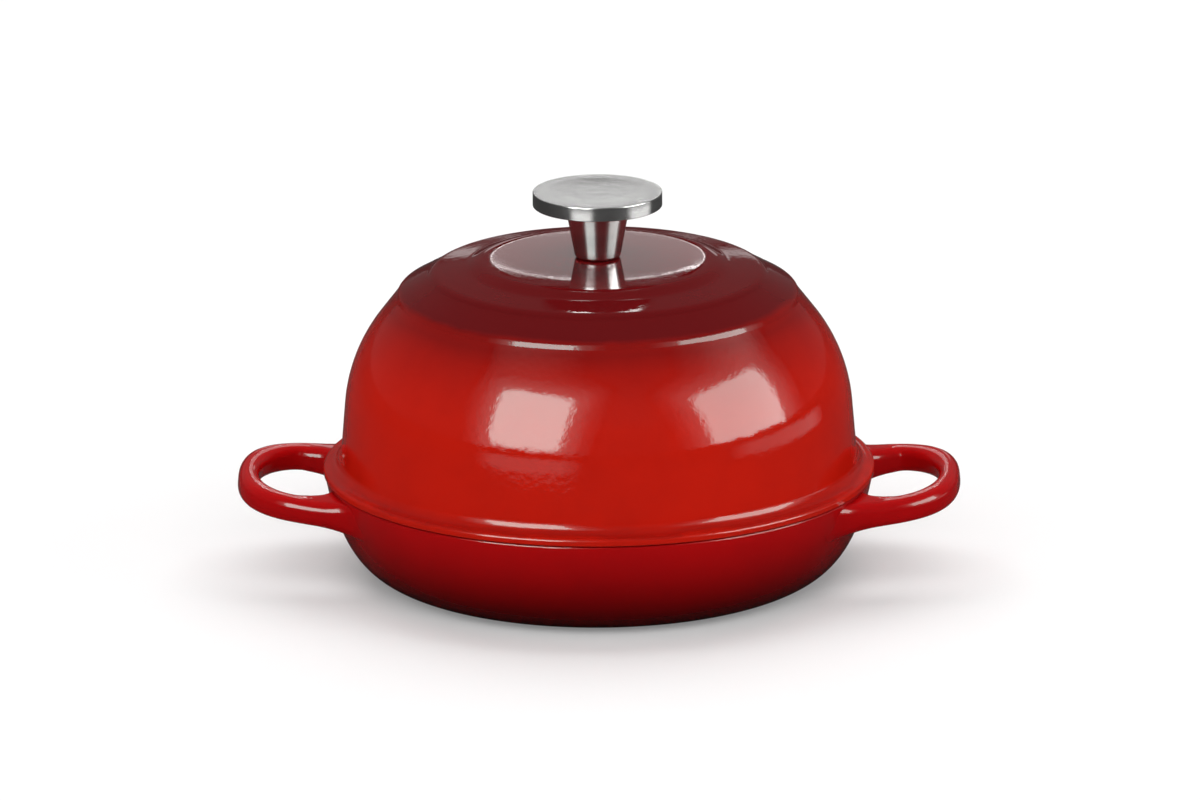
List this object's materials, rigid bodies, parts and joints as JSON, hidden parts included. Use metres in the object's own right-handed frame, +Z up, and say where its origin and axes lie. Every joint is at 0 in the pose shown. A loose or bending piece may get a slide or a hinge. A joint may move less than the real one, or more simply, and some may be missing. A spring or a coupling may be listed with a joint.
{
  "type": "bread oven",
  "caption": "Round enamelled cast iron bread oven: a shallow pan with loop handles under a tall stepped dome lid that lifts off by a steel knob.",
  "frame": {"origin": "centre of the pan's foot, on the surface that the oven stands on", "axes": "+Z up along the axis of the pan and the lid, +X along the line through both loop handles"},
  "size_m": [0.3356, 0.2558, 0.1822],
  "materials": {
    "red_enamel": "gloss red vitreous enamel outside, matt black enamel inside",
    "knob_steel": "turned and satin brushed",
    "fixing_steel": "plain bright zinc"
  },
  "bodies": {
    "pan": {"base_pan": "red_enamel"},
    "lid": {"dome_lid": "red_enamel", "knob_stem": "knob_steel", "knob_cap": "knob_steel", "knob_washer": "fixing_steel", "knob_screw": "fixing_steel"}
  },
  "joints": [
    {"name": "lid_lift", "type": "slide", "parent": "pan", "child": "lid", "axis": [0, 0, 1], "range_m": [0, 0.2]}
  ]
}
